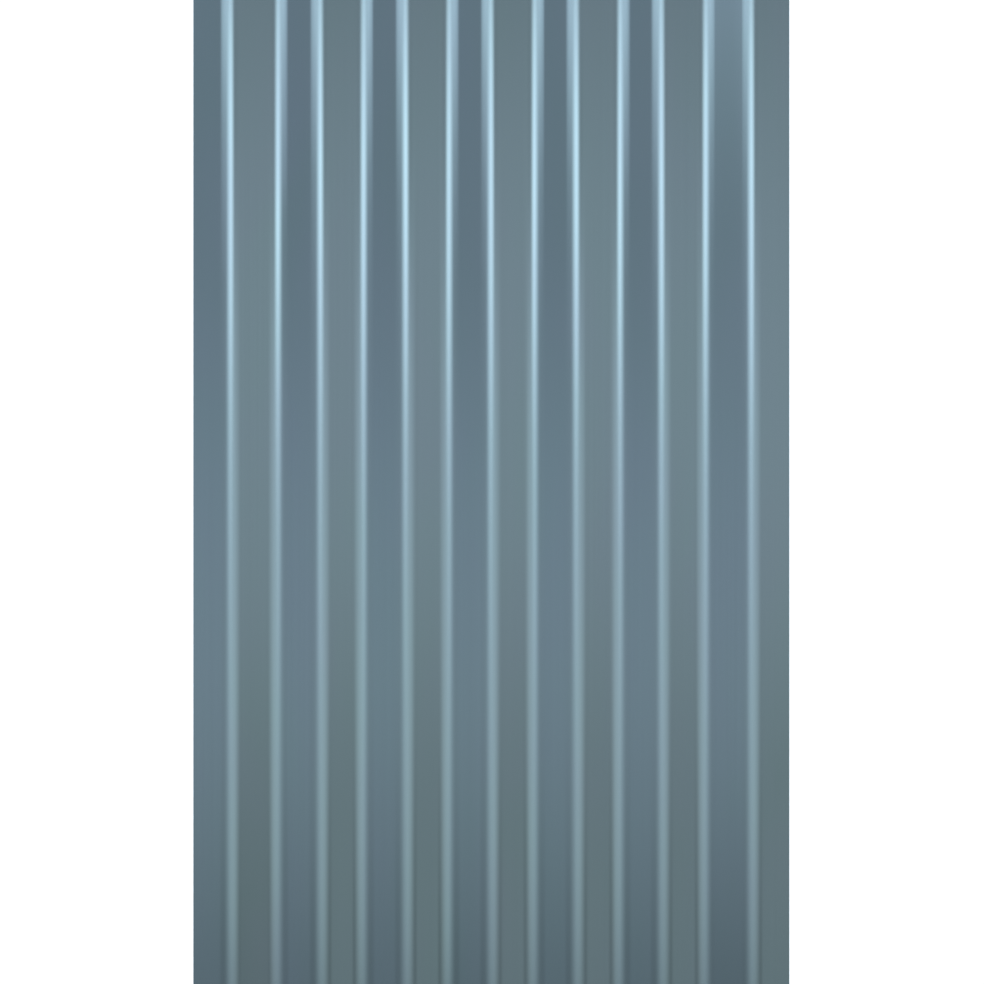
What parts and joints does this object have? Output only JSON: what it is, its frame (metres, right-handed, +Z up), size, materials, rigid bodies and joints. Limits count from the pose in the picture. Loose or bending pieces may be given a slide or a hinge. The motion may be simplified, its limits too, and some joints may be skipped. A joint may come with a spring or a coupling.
{
  "type": "corrugated metal sheet",
  "caption": "Thin zinc-coated steel sheet rolled into round corrugations, with both side edges turned down and square-cut ends, for roofing or cladding.",
  "frame": {"origin": "bottom centre: midway between the side edges and between the cut ends, on the plane under the troughs", "axes": "+Y along the corrugations, +X across them, +Z up from the troughs to the crests"},
  "size_m": [0.532, 2, 0.0165],
  "materials": {
    "zinc_coated_steel": "satin"
  },
  "bodies": {
    "root": {"corrugated_sheet": "zinc_coated_steel"}
  },
  "joints": []
}
